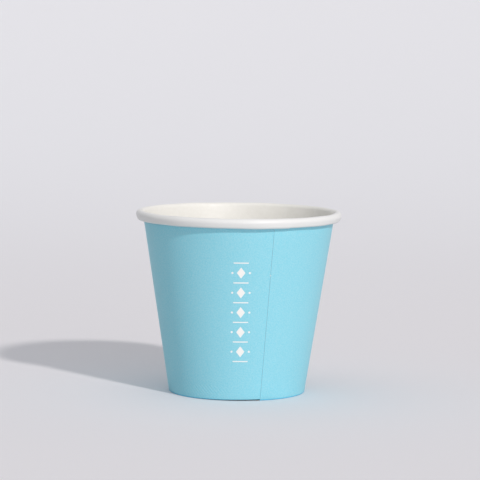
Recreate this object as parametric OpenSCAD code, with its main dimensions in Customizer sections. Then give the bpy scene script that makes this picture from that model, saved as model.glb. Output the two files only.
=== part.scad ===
// Paper cup made from two pieces of board. The side wall is one fan-shaped blank: it is wrapped
// into a cone and lapped along a side seam, its top edge is rolled outwards into the rim, and its
// bottom edge is turned in and up as a hem. The base is a disc whose edge is turned down as a
// skirt, which the hem grips. The foot stands on z = 0, the cup's axis is Z and its front is -Y.

/* [Cup] */
// Outside diameter of the rolled rim
rim_d = 90; // [80:0.5:100]
// Height from the foot to the top of the rim
cup_h = 79.6; // [60:0.1:120]
// Outside diameter of the wall at the foot
foot_d = 59.6; // [50:0.5:70]

/* [Board] */
// Thickness of the side wall's board
wall_board = 0.35; // [0.25:0.01:0.45]
// Thickness of the base disc's board
base_board = 0.35; // [0.25:0.01:0.45]

/* [Rolled rim] */
// Width of the roll over its top bend, from the inside of the mouth outwards
roll_w = 3.4; // [3:0.1:5]
// Height of the roll
roll_h = 4.2; // [3.8:0.1:6]
// Outer radius of the free edge that is tucked inside the roll
tuck_r = 1.2; // [0.8:0.05:1.25]
// Gap between the wall and the tucked edge where it comes up beside the wall
tuck_gap = 0.1; // [0.05:0.05:0.4]
// Angle of the tucked edge past that place
tuck_turn = 60; // [10:1:100]

/* [Side seam] */
// Angle of the seam's middle from the front, turned towards +X
seam_turn = 25.6; // [-180:0.1:180]
// Width of board that is lapped and sealed
seam_lap = 6; // [4:0.5:10]
// Height of the step at the wall's raw edge, after it has been pressed
seam_step = 0.3; // [0.1:0.05:0.35]
// Angle from the seam's middle at which the outer layer lies flush with the wall again
seam_fade = 16; // [12:1:30]
// Height of the step where the lap goes round the rolled rim
rim_step = 0.25; // [0.1:0.05:0.35]

/* [Foot] */
// Height of the hem that is turned up inside the foot
hem_h = 6; // [4:0.1:9]
// Outer radius of the two bends at the foot
foot_bend_r = 0.4; // [0.36:0.02:0.48]
// Height of the disc's underside above the foot
base_z = 7; // [6.5:0.1:12]
// Outer radius of the bend between the disc and its skirt
skirt_bend_r = 0.8; // [0.6:0.05:1.5]
// Gap of the sealing film on each side of the skirt
seal_gap = 0.03; // [0.02:0.01:0.05]
// Gap between the skirt's lower edge and the fold of the hem
skirt_gap = 0.3; // [0.1:0.05:1]

/* [Hidden] */
$fn = 180;

printed = "#8FCFE3";
coated = "#F4F3EF";

// Most degrees between two points of a bend
bend_step = 10;
// Points of the roll's top bend over which the rim's step grows
step_growth = 5;
// Length by which a cutting solid runs past what it cuts
past = 1;

rim_r = rim_d / 2;
foot_r = foot_d / 2;
roll_top_r = roll_w / 2;
roll_top = [rim_r - roll_top_r, cup_h - roll_top_r];

// The wall's outside meets the foot, and its inside is tangent to the roll's top bend
lean_run = [roll_top.x - foot_r, roll_top.y];
lean = atan2(lean_run.x, lean_run.y) - asin((roll_top_r - wall_board) / norm(lean_run));

// The roll's lower bend fills the width from the leaning wall's outside to the rim's outside
roll_low_z = cup_h - roll_h;
roll_low_r = (rim_r - foot_r - roll_low_z * tan(lean) - tuck_gap) / (2 + tan(lean));
roll_low = [rim_r - roll_low_r, roll_low_z + roll_low_r];
tuck = roll_low - [roll_low_r - tuck_r, 0];

// Distances inwards from the wall's inner face, square to the leaning wall
skirt_out = seal_gap;
skirt_in = skirt_out + base_board;
hem_out = skirt_in + seal_gap;
hem_in = hem_out + wall_board;

// Centres of the bends: two at the foot, one between the disc and its skirt
foot_bend_out = on_wall(foot_bend_r - wall_board, foot_bend_r);
foot_bend_in = on_wall(hem_in - foot_bend_r, foot_bend_r);
skirt_bend = on_wall(skirt_out + skirt_bend_r, base_z + base_board - skirt_bend_r);

// The lap's outer layer ends behind the roll's lower bend, where the roll hides it
lap_top = roll_low_z + roll_low_r / 2;
// Its axis is moved towards the seam, so it stands proud there and sinks into the wall beside it
lap_shift = seam_step / (1 - cos(seam_fade));

function dir(a) = [cos(a), sin(a)];

// A point in the section at a distance inwards from the wall's inner face, at a height
function on_wall(inwards, z) =
    [foot_r + z * tan(lean) - (wall_board + inwards) / cos(lean), z];

// Points round a bend, each with the direction of the sheet's other face, which is away from the
// bend's centre where side is 1 and towards it where side is -1
function bend(centre, r, from, to, side) =
    let (steps = ceil(abs(to - from) / bend_step))
    [for (i = [0:steps])
        let (a = from + (to - from) * i / steps)
        [centre + r * dir(a), side * dir(a)]];

// The sheet's white face from the hem's free edge, round the foot and up to the roll
wall_path = concat(
    [[on_wall(hem_out, hem_h), dir(180 - lean)]],
    bend(foot_bend_in, foot_bend_r - wall_board, 180 - lean, 270, 1),
    bend(foot_bend_out, foot_bend_r - wall_board, 270, 360 - lean, 1),
    [[roll_top + roll_top_r * dir(180 - lean), dir(-lean)]]
);

// The same face from there over the roll and into it
roll_over = bend(roll_top, roll_top_r, 180 - lean, 0, -1);
roll_under = bend(roll_low, roll_low_r, 0, -180, -1);
roll_tuck = bend(tuck, tuck_r, -180 - bend_step, -180 - tuck_turn, -1);
roll_path = concat(roll_over, roll_under, roll_tuck);

// The disc's white face, from its middle to the skirt's lower edge
base_path = concat(
    [[[0, base_z], [0, 1]]],
    bend(skirt_bend, skirt_bend_r - base_board, 90, -lean, 1),
    [[on_wall(skirt_in, wall_board + skirt_gap), dir(-lean)]]
);

function reversed(points) = [for (i = [len(points) - 1:-1:0]) points[i]];
function face(path, depth) = [for (p = path) p[0] + depth * p[1]];

module bent_board(path, board) {
    rotate_extrude() polygon(concat(face(path, 0), reversed(face(path, board))));
}

// Everything within a band beside the seam's middle, in the seam's own frame
module seam_band(from, to) {
    translate([0, from, -past]) cube([rim_d, to - from, cup_h + 2 * past]);
}

// The wall's outer layer from its raw edge to where it lies flush again
module wall_lap() {
    low = foot_bend_r;
    grow = seam_step - lap_shift;
    intersection() {
        difference() {
            translate([lap_shift, 0, low])
                cylinder(
                    h = lap_top - low,
                    r1 = on_wall(-wall_board, low).x + grow,
                    r2 = on_wall(-wall_board, lap_top).x + grow
                );
            translate([0, 0, low - past])
                cylinder(
                    h = lap_top - low + 2 * past,
                    r1 = on_wall(-wall_board / 2, low - past).x,
                    r2 = on_wall(-wall_board / 2, lap_top + past).x
                );
        }
        seam_band(-seam_lap / 2, rim_r);
    }
}

// The lap's other layer, which comes out on top where the sheet is rolled over
module rim_lap() {
    path = concat(roll_over, [for (p = roll_under) if (p[0].x > roll_low.x) p]);
    outside = [for (i = [0:len(path) - 1])
        path[i][0] - min(i / step_growth, 1) * rim_step * path[i][1]];
    intersection() {
        rotate_extrude()
            polygon(concat(outside, reversed(face(path, wall_board / 2))));
        seam_band(-seam_lap / 2, seam_lap / 2);
    }
}

module side_wall() {
    color(printed) {
        bent_board(wall_path, wall_board);
        rotate([0, 0, seam_turn - 90]) wall_lap();
    }
    color(coated) {
        bent_board(roll_path, wall_board);
        rotate([0, 0, seam_turn - 90]) rim_lap();
    }
}

module base_disc() {
    color(coated) bent_board(base_path, base_board);
}

side_wall();
base_disc();
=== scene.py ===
from math import acos, asin, atan2, cos, hypot, pi, radians, sin, tan

import bmesh
import bpy
from mathutils import Matrix, Vector


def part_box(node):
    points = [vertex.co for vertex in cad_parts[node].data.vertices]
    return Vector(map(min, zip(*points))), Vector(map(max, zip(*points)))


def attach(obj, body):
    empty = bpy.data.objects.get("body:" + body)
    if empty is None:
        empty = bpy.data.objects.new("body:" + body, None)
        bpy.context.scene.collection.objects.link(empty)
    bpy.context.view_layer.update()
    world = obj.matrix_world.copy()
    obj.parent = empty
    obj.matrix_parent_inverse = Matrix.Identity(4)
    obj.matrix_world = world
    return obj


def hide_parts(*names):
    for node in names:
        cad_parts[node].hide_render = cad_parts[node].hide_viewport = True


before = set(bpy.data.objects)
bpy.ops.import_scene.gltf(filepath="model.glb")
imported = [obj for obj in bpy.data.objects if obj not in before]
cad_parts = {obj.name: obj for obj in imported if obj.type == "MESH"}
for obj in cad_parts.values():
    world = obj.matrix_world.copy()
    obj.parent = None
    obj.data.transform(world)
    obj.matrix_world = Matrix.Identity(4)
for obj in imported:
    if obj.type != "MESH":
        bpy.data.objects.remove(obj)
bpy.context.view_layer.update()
mm = 0.001


# The camera looks at the cup from the front and slightly above, from about a metre away, as the
# photograph does. Its small turn and lean are those of the photograph.
camera_height = 170.2 * mm
camera_distance = 1072.9 * mm
camera_down, camera_turn, camera_lean = 0.09632, 0.00062, 0.01238
frame_width = 36.0
focal_length = 184.35

camera = bpy.data.objects.new("camera", bpy.data.cameras.new("camera"))
bpy.context.scene.collection.objects.link(camera)
camera.data.sensor_width = frame_width
camera.data.lens = focal_length
camera.data.clip_end = 50
camera.matrix_world = (
    Matrix.Translation((0, -camera_distance, camera_height))
    @ Matrix.Rotation(-camera_turn, 4, "Z")
    @ Matrix.Rotation(pi / 2 - camera_down, 4, "X")
    @ Matrix.Rotation(camera_lean, 4, "Z")
)
bpy.context.scene.camera = camera


# The light is one fairly hard lamp from the right and in front, high enough to lay the cup's
# shadow back and to the left. A low soft box behind the camera, a large one overhead and a little
# to the left, and a dim pale room lighten the rest.
key_turn, key_rise = radians(33.75), radians(30.8)
key_strength, key_width = 1.68, radians(4)
front_turn, front_rise = radians(22), radians(8)
front_power, front_width, front_height = 11.0, 1.6, 0.6
top_turn, top_rise = radians(-108), radians(74)
top_power, top_size = 11.5, 3.0
box_distance = 2.5
key_colour, soft_colour = (1, 0.935, 0.89), (0.955, 0.975, 1)
room_colour = (0.372, 0.368, 0.372, 1)


def aim(lamp, turn, rise, distance):
    """Points a lamp at the cup's foot from a turn to the right, a rise and a distance."""
    lamp.matrix_world = (
        Matrix.Rotation(turn, 4, "Z")
        @ Matrix.Rotation(pi / 2 - rise, 4, "X")
        @ Matrix.Translation((0, 0, distance))
    )


def soft_box(name, power, width, height, turn, rise):
    lamp = bpy.data.objects.new(name, bpy.data.lights.new(name, "AREA"))
    bpy.context.scene.collection.objects.link(lamp)
    lamp.data.shape = "RECTANGLE"
    lamp.data.size, lamp.data.size_y = width, height
    lamp.data.energy, lamp.data.color = power, soft_colour
    aim(lamp, turn, rise, box_distance)


key = bpy.data.objects.new("key", bpy.data.lights.new("key", "SUN"))
bpy.context.scene.collection.objects.link(key)
key.data.energy, key.data.angle, key.data.color = key_strength, key_width, key_colour
aim(key, key_turn, key_rise, 1)
soft_box("front_box", front_power, front_width, front_height, front_turn, front_rise)
soft_box("top_box", top_power, top_size, top_size, top_turn, top_rise)
room = bpy.data.worlds.new("room")
room.use_nodes = True
room.node_tree.nodes["Background"].inputs["Color"].default_value = room_colour
bpy.context.scene.world = room
bpy.context.scene.view_settings.view_transform = "Standard"


# The floor is one pale sheet of studio paper. It lies flat under the cup and sweeps up behind it
# into the backdrop, so that no edge shows.
class Value:
    """A node socket that takes part in Python expressions. Each operator adds its Math node."""

    def __init__(self, tree, socket):
        self.tree, self.socket = tree, socket

    def math(self, operation, *values):
        return self.tree.add("ShaderNodeMath", {"operation": operation}, values)

    def __add__(self, other):
        return self.math("ADD", self, other)

    def __sub__(self, other):
        return self.math("SUBTRACT", self, other)

    def __rsub__(self, other):
        return self.math("SUBTRACT", other, self)

    def __mul__(self, other):
        return self.math("MULTIPLY", self, other)

    def __truediv__(self, other):
        return self.math("DIVIDE", self, other)

    def __gt__(self, other):
        return self.math("GREATER_THAN", self, other)

    def __lt__(self, other):
        return self.math("LESS_THAN", self, other)

    def __abs__(self):
        return self.math("ABSOLUTE", self)

    def fraction(self):
        return self.math("FRACT", self)

    def squared(self):
        return self * self

    def larger(self, other):
        return self.math("MAXIMUM", self, other)

    def turn(self, other):
        return self.math("ARCTAN2", self, other)

    def sine(self):
        return self.math("SINE", self)

    __radd__, __rmul__ = __add__, __mul__


class Finish:
    """A material and its one shader. Its add method makes any other node."""

    def __init__(self, name, **constants):
        self.material = bpy.data.materials.new(name)
        self.material.use_nodes = True
        self.nodes = self.material.node_tree.nodes
        self.links = self.material.node_tree.links
        self.shader = self.nodes["Principled BSDF"]
        for socket, value in constants.items():
            self.shader.inputs[socket.replace("_", " ")].default_value = value

    def add(self, kind, settings=None, values=(), output=0):
        """A node of a kind with its settings, and its sockets' values or links by place or name."""
        node = self.nodes.new(kind)
        for name, setting in (settings or {}).items():
            setattr(node, name, setting)
        named = values.items() if isinstance(values, dict) else enumerate(values)
        for place, value in named:
            self.feed(node.inputs[place], value)
        return Value(self, node.outputs[output])

    def feed(self, socket, value):
        if isinstance(value, Value):
            self.links.new(value.socket, socket)
        else:
            socket.default_value = value

    def wear(self, socket, value):
        self.feed(self.shader.inputs[socket], value)

    def place(self):
        """Object coordinates, in metres."""
        return self.add("ShaderNodeTexCoord", output="Object")

    def along(self, axis, place):
        """One of a place's three coordinates."""
        return self.add("ShaderNodeSeparateXYZ", None, [place], axis)

    def grain(self, place, size, detail=2.0, rough=0.5):
        """Noise from 0 to 1 with features of a size in metres."""
        values = {"Vector": place, "Scale": 1 / size, "Detail": detail, "Roughness": rough}
        return self.add("ShaderNodeTexNoise", {"noise_dimensions": "3D"}, values)

    def blend(self, share, first, second):
        """A colour between two colours."""
        return self.add(
            "ShaderNodeMix", {"data_type": "RGBA"}, {0: share, 6: first, 7: second}, 2
        )

    def span(self, value, start, end):
        """0 before the start and 1 after the end, with a smooth rise between them."""
        settings = {"interpolation_type": "SMOOTHSTEP"}
        return self.add("ShaderNodeMapRange", settings, [value, start, end])

    def bump(self, height, depth, under=None):
        """Relief of a depth in metres, laid over another relief."""
        values = {"Height": height, "Distance": depth, "Strength": 1.0}
        if under is not None:
            values["Normal"] = under
        return self.add("ShaderNodeBump", None, values)


def finish_mesh(shape, name, finishes):
    """Makes a smooth-shaded object at the origin from a bmesh, with its materials in order."""
    mesh = bpy.data.meshes.new(name)
    shape.to_mesh(mesh)
    shape.free()
    mesh.shade_smooth()
    for finish in finishes:
        mesh.materials.append(finish.material)
    piece = bpy.data.objects.new(name, mesh)
    bpy.context.scene.collection.objects.link(piece)
    return piece


# Depths in metres over which the paper is painted paler towards the back: painted light, for a
# backdrop lit brighter than the floor in front
paper_painted_light_from, paper_painted_light_to = 0, 1.2


def studio_paper():
    """Pale paper that looks lighter to the camera than the light it throws back on the cup."""
    finish = Finish("studio_paper", Roughness=0.95, Specular_IOR_Level=0.1)
    near, far, thrown = (0.85, 0.85, 0.895, 1), (0.89, 0.91, 0.965, 1), (0.65, 0.65, 0.665, 1)
    back = finish.along("Y", finish.place())
    camera_ray, glossy_ray, clear_ray = [
        finish.add("ShaderNodeLightPath", output=f"Is {ray} Ray")
        for ray in ("Camera", "Glossy", "Transmission")
    ]
    seen = camera_ray.larger(glossy_ray).larger(clear_ray)
    # Painted light: the paper grows paler towards the back, standing in for a backdrop lit brighter
    # than the floor
    paper = finish.blend(finish.span(back, paper_painted_light_from, paper_painted_light_to), near, far)
    finish.wear("Base Color", finish.blend(seen, thrown, paper))
    return finish


floor_half, floor_front = 6.0, -4.0
sweep_start, sweep_radius, sweep_pieces = 0.5, 4.5, 32
backdrop_height = 0.5


def verts_of(geometry):
    return [v for v in geometry if isinstance(v, bmesh.types.BMVert)]


shape = bmesh.new()
corner = shape.verts.new((-floor_half, floor_front, 0))
run = bmesh.ops.extrude_vert_indiv(shape, verts=[corner])["verts"]
bmesh.ops.translate(shape, verts=run, vec=(0, sweep_start - floor_front, 0))
arc = bmesh.ops.spin(
    shape,
    geom=run,
    cent=(0, sweep_start, sweep_radius),
    axis=(1, 0, 0),
    angle=pi / 2,
    steps=sweep_pieces,
)["geom_last"]
run = bmesh.ops.extrude_vert_indiv(shape, verts=verts_of(arc))["verts"]
bmesh.ops.translate(shape, verts=run, vec=(0, 0, backdrop_height))
side = bmesh.ops.extrude_edge_only(shape, edges=shape.edges[:])["geom"]
bmesh.ops.translate(shape, verts=verts_of(side), vec=(2 * floor_half, 0, 0))
bmesh.ops.recalc_face_normals(shape, faces=shape.faces)
finish_mesh(shape, "studio_floor", [studio_paper()])


# The side wall is one fan-shaped blank of coated board, printed on one face. It is rolled into a
# cone and lapped 6 mm at the side seam, its top edge is curled out and down into the rim, and its
# bottom edge is turned in and up as a hem. Everything here is one sheet of even thickness.
board = 0.35 * mm
rim_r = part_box("side_wall")[1].y
cup_height = 79.6 * mm
foot_r = 29.8 * mm
# The roll is tighter below than above, and its free edge is tucked up inside it
roll_top_r, roll_low_r = 1.7 * mm, 1.38 * mm
roll_height = 4.2 * mm
tuck_r, tuck_gap, tuck_turn = 1.1 * mm, 0.1 * mm, radians(60)
hem_height, hem_depth = 6 * mm, 0.76 * mm
foot_bend_r = 0.4 * mm

# At the seam one end of the sheet steps over the other, and beside it the foot opens a little
seam_turn = radians(25.6)
seam_lap = 6 * mm
lap_step, lap_fade = 0.22 * mm, radians(16)
rim_step_top, rim_step_low, rim_swell = 0.04 * mm, 0.16 * mm, radians(22)
foot_lift, foot_swell = 0.5 * mm, radians(75)
foot_low, foot_high = 0.4 * mm, 5 * mm
rim_low, rim_high = cup_height - 8 * mm, cup_height - 4 * mm
# A curled edge is never quite even: how many waves go round it, and where each starts
roll_wave, roll_waves = 0.035 * mm, ((5, 2.8), (9, 3.7), (16, -0.9))

roll_top = Vector((rim_r - roll_top_r, 0, cup_height - roll_top_r))
lean_run = Vector((roll_top.x - foot_r, roll_top.z))
lean = atan2(lean_run.x, lean_run.y) - asin((roll_top_r - board) / lean_run.length)
roll_low_z = cup_height - roll_height
roll_low_x = foot_r + (roll_low_z + roll_low_r) * tan(lean) + tuck_gap + roll_low_r
roll_low = Vector((roll_low_x, 0, roll_low_z + roll_low_r))
roll_run = roll_top - roll_low
roll_slant = acos((roll_low_r - roll_top_r) / roll_run.length) - atan2(roll_run.z, roll_run.x)
tuck = roll_low - Vector((roll_low_r - tuck_r, 0, 0))


def on_wall(inwards, z):
    """A point of the section at a distance inwards from the wall's white face, at a height."""
    return Vector((foot_r + z * tan(lean) - (board + inwards) / cos(lean), 0, z))


def run_to(shape, pen, place, pieces=1):
    """Draws a straight stretch of the sheet's section from the pen, in a number of pieces."""
    start = pen.co.copy()
    for i in range(pieces):
        pen = bmesh.ops.extrude_vert_indiv(shape, verts=[pen])["verts"][0]
        pen.co = start.lerp(place, (i + 1) / pieces)
    return pen


def bend_round(shape, pen, centre, angle, pieces):
    """Draws a bend of the sheet's section from the pen round a centre."""
    turned = bmesh.ops.spin(
        shape, geom=[pen], cent=centre, axis=(0, 1, 0), angle=angle, steps=pieces
    )
    return verts_of(turned["geom_last"])[0]


def smooth_step(value, start, end):
    share = min(max((value - start) / (end - start), 0), 1)
    return share * share * (3 - 2 * share)


hem_pieces, foot_pieces, wall_pieces = 8, 4, 40
roll_top_pieces, roll_low_pieces, tuck_pieces = 24, 18, 6


def draw_wall_section(shape):
    """The white face from the hem's free edge round the foot, up the wall and into the roll."""
    inner = on_wall(hem_depth - foot_bend_r, foot_bend_r)
    outer = on_wall(foot_bend_r - board, foot_bend_r)
    bend_r = foot_bend_r - board
    inwards = Vector((-cos(lean), 0, sin(lean)))
    outwards = Vector((cos(roll_slant), 0, -sin(roll_slant)))
    pen = shape.verts.new(on_wall(hem_depth - board, hem_height))
    pen = run_to(shape, pen, inner + bend_r * inwards, hem_pieces)
    pen = bend_round(shape, pen, inner, -(pi / 2 + lean), foot_pieces)
    pen = run_to(shape, pen, outer - Vector((0, 0, bend_r)))
    pen = bend_round(shape, pen, outer, -(pi / 2 - lean), foot_pieces)
    pen = run_to(shape, pen, roll_top + roll_top_r * inwards, wall_pieces)
    pen = bend_round(shape, pen, roll_top, pi - lean + roll_slant, roll_top_pieces)
    pen = run_to(shape, pen, roll_low + roll_low_r * outwards)
    pen = bend_round(shape, pen, roll_low, pi - roll_slant, roll_low_pieces)
    bend_round(shape, pen, tuck, tuck_turn, tuck_pieces)


stations = 370
rim_lap = 2 * asin(seam_lap / 2 / rim_r)

shape = bmesh.new()
draw_wall_section(shape)
section_size = len(shape.verts)
bmesh.ops.spin(
    shape,
    geom=shape.verts[:] + shape.edges[:],
    axis=(0, 0, 1),
    angle=2 * pi + rim_lap,
    steps=stations,
)
shape.verts.ensure_lookup_table()
shape.normal_update()


def shape_lap(vert, share):
    """Moves a point of the sheet, at a share of its length round the cup, to where the lap puts it."""
    lap = 2 * asin(seam_lap / 2 / hypot(vert.co.x, vert.co.y))
    turn = share * (2 * pi + lap)
    foot_share = 1 - smooth_step(vert.co.z, foot_low, foot_high)
    rim_share = smooth_step(vert.co.z, rim_low, rim_high)
    over = 1 - smooth_step(turn, lap, lap_fade)
    under_rim = smooth_step(turn, 2 * pi - rim_swell, 2 * pi)
    under_foot = smooth_step(turn, 2 * pi - foot_swell, 2 * pi)
    roll_step = rim_step_top + (rim_step_low - rim_step_top) * smooth_step(
        cup_height - vert.co.z, roll_top_r, roll_height
    )
    push = lap_step * over * (1 - rim_share) * (1 - foot_share / 2)
    push -= roll_step * under_rim * rim_share
    push -= roll_wave * rim_share * sum(sin(count * turn + start) for count, start in roll_waves)
    # The fold at the foot opens sideways and stays flat below
    outwards = -vert.normal * push
    outwards.z *= 1 - foot_share
    lift = Vector((0, 0, foot_lift * under_foot * foot_share))
    # The lap keeps its width, so it turns through more of the foot than of the rim
    place = Matrix.Rotation(turn - lap / 2 - share * (2 * pi + rim_lap), 3, "Z")
    vert.co = place @ (vert.co + outwards + lift)


for vert in shape.verts:
    shape_lap(vert, vert.index // section_size / stations)
bmesh.ops.rotate(
    shape, verts=shape.verts, cent=(0, 0, 0), matrix=Matrix.Rotation(seam_turn - pi / 2, 3, "Z")
)
# The cut edges of the board stay crisp
for edge in shape.edges:
    edge.smooth = not edge.is_boundary


# The white print's middle, its lower end, and the height and number of its rows
print_x, print_low, print_pitch, print_rows = 1.3 * mm, 17.5 * mm, 8.6 * mm, 5
lozenge_w, lozenge_h = 3.6 * mm, 4.8 * mm
dot_x, dot_r = 3.7 * mm, 0.45 * mm
bar_w, bar_h = 6.4 * mm, 0.45 * mm
nick_z, nick_r = 55 * mm, 0.28 * mm
# The ribs' number round the cup, and the radians by which their waves shift per metre of height
rib_count, rib_slant, rib_depth = 125, 3560, 0.03 * mm
rib_low, rib_high = 0.8 * mm, 6.2 * mm
rib_faint, rib_full = 4 * mm, 28 * mm
# Heights of the deeper blue in the foot's fold, which is partly painted bounce light from the floor
fold_low, fold_high = 0.35 * mm, 0.75 * mm
mottle_size, mottle_low, mottle_high = 0.5 * mm, 0.32, 0.68
print_fibre, print_fibre_depth = 0.16 * mm, 0.006 * mm


def white_print(x, y, z):
    """The mask of the white print: a column of lozenges with a dot on each side and bars between."""
    row = (z - print_low) / print_pitch
    across = abs(x - print_x)
    up = abs(row.fraction() - 0.5) * print_pitch
    lozenge = across / (lozenge_w / 2) + up / (lozenge_h / 2) < 1
    dots = (across - dot_x).squared() + up.squared() < dot_r**2
    bars = (up > (print_pitch - bar_h) / 2) * (across < bar_w / 2)
    column = (row > -bar_h / 2 / print_pitch) * (row < print_rows + bar_h / 2 / print_pitch)
    return column * (y < 0) * lozenge.larger(dots).larger(bars)


def foot_ribs(finish, x, y, z):
    """Slanting ribs, pressed through from the knurled tool that closes the hem on the skirt."""
    wave = (x.turn(y) * rib_count - z * rib_slant).sine()
    band = finish.span(z, 0, rib_low) * (1 - finish.span(z, rib_high, rib_high + rib_low))
    from_seam = (x - foot_r * sin(seam_turn)).squared() + (y + foot_r * cos(seam_turn)).squared()
    return wave * band * finish.span(from_seam, rib_faint**2, rib_full**2)


def edge_nick(x, y, z):
    """The mask of a nick in the raw edge of the seam, where the print has flaked off."""
    wall_r = on_wall(-board, nick_z).x
    turn = seam_turn - asin(seam_lap / 2 / wall_r)
    beside = (x - wall_r * sin(turn)).squared() + (y + wall_r * cos(turn)).squared()
    return beside + (z - nick_z).squared() < nick_r**2


def printed_board():
    """Satin blue print with a fine mottle, deeper in the fold at the foot: partly the ink stretched
    over the fold, partly painted light bounced up from the floor onto the bend.
    """
    finish = Finish("printed_board", Specular_IOR_Level=0.3)
    blue, pale = (0.26, 0.70, 0.85, 1), (0.355, 0.745, 0.88, 1)
    deep_ink_and_bounce, white_ink = (0.16, 0.62, 0.86, 1), (0.97, 0.97, 0.96, 1)
    place = finish.place()
    x, y, z = [finish.along(axis, place) for axis in "XYZ"]
    mottle = finish.grain(place, mottle_size, detail=3, rough=0.7)
    mottle = finish.span(mottle, mottle_low, mottle_high)
    ink = finish.blend(mottle, blue, pale)
    # Deeper blue in the fold at the foot: partly the ink, partly painted floor-bounce light on the
    # bend
    ink = finish.blend(1 - finish.span(z, fold_low, fold_high), ink, deep_ink_and_bounce)
    bare = white_print(x, y, z).larger(edge_nick(x, y, z))
    finish.wear("Base Color", finish.blend(bare, ink, white_ink))
    finish.wear("Roughness", 0.42 + mottle * 0.08)
    ribs = finish.bump(foot_ribs(finish, x, y, z), rib_depth)
    fibre = finish.grain(place, print_fibre)
    finish.wear("Normal", finish.bump(fibre, print_fibre_depth, ribs))
    return finish


pulp_size, pulp_low, pulp_high = 2.2 * mm, 0.3, 0.7
film_fibre, film_fibre_depth = 0.3 * mm, 0.008 * mm
# Radii between which the board is painted the roll's cooler, darker shade
roll_inside, roll_outside = 42 * mm, 43.3 * mm


def white_board(name, relief=None):
    """Warm white board under a thin satin film, through which its pulp shows as faint clouds. The
    roll is painted a cooler, slightly darker white: painted shade against the warm key light on it."""
    finish = Finish(name)
    clouded, clear = (0.86, 0.86, 0.825, 1), (0.885, 0.885, 0.855, 1)
    roll_painted_shade = (0.845, 0.86, 0.865, 1)
    place = finish.place()
    x, y = [finish.along(axis, place) for axis in "XY"]
    pulp = finish.grain(place, pulp_size, detail=4, rough=0.6)
    pulp = finish.span(pulp, pulp_low, pulp_high)
    on_roll = finish.span(x.squared() + y.squared(), roll_inside**2, roll_outside**2)
    # Painted shade: the roll gets a cooler, darker white than the rest of the same board
    finish.wear("Base Color", finish.blend(on_roll, finish.blend(pulp, clouded, clear), roll_painted_shade))
    finish.wear("Roughness", 0.46 - pulp * 0.08)
    fibre = finish.grain(place, film_fibre)
    under = relief(finish, x, y) if relief else None
    finish.wear("Normal", finish.bump(fibre, film_fibre_depth, under))
    return finish


def raw_edge():
    """The cut edge of the board: plain on the roll, and on the wall a darker cyan-grey, partly print
    soaked into the cut and partly painted shade and blue light bounced off the print.
    """
    finish = Finish("raw_edge", Roughness=0.9)
    ink_and_painted_shade, plain = (0.56, 0.74, 0.80, 1), (0.84, 0.83, 0.79, 1)
    on_roll = finish.span(finish.along("Z", finish.place()), roll_low_z - 1 * mm, roll_low_z)
    # On the wall the edge is darker and bluer: partly print in the cut, partly painted shade and
    # bounce light along the seam
    finish.wear("Base Color", finish.blend(on_roll, ink_and_painted_shade, plain))
    return finish


wall_finishes = [white_board("white_board"), printed_board(), raw_edge()]
side_wall = finish_mesh(shape, "side_wall_sheet", wall_finishes)
sheet = side_wall.modifiers.new("board", "SOLIDIFY")
sheet.thickness = board
sheet.offset = -1
sheet.use_even_offset = True
sheet.material_offset = 1
sheet.material_offset_rim = 2
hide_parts("side_wall")
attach(side_wall, "root")


# The base is one disc of white board, dropped in from below with its edge turned down as a skirt.
# The hem grips the skirt and heat seals it.
base_height = 7 * mm
base_thickness = 0.35 * mm
skirt_bend_r = 0.8 * mm
seal_gap = 0.03 * mm
skirt_foot = 0.65 * mm
disc_pieces, bend_pieces, skirt_pieces, base_stations = 12, 8, 4, 180

pleat_count, pleat_depth = 150, 0.03 * mm
pleats_start, pleats_full = 25.6 * mm, 26.6 * mm


def pleats(finish, x, y):
    """Relief of fine pleats where the flat disc is drawn down into its skirt."""
    band = finish.span(x.squared() + y.squared(), pleats_start**2, pleats_full**2)
    return finish.bump((x.turn(y) * pleat_count).sine() * band, pleat_depth)


shape = bmesh.new()
top = base_height + base_thickness
bend_centre = on_wall(seal_gap + skirt_bend_r, top - skirt_bend_r)
pen = shape.verts.new((0, 0, top))
pen = run_to(shape, pen, Vector((bend_centre.x, 0, top)), disc_pieces)
pen = bend_round(shape, pen, bend_centre, pi / 2 + lean, bend_pieces)
run_to(shape, pen, on_wall(seal_gap, skirt_foot), skirt_pieces)
bmesh.ops.spin(
    shape,
    geom=shape.verts[:] + shape.edges[:],
    axis=(0, 0, 1),
    angle=2 * pi,
    steps=base_stations,
    use_merge=True,
)
bmesh.ops.remove_doubles(shape, verts=shape.verts, dist=0.001 * mm)
bmesh.ops.recalc_face_normals(shape, faces=shape.faces)
base_disc = finish_mesh(shape, "base_disc_sheet", [white_board("base_board", pleats)])
sheet = base_disc.modifiers.new("board", "SOLIDIFY")
sheet.thickness = base_thickness
sheet.offset = -1
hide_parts("base_disc")
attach(base_disc, "root")
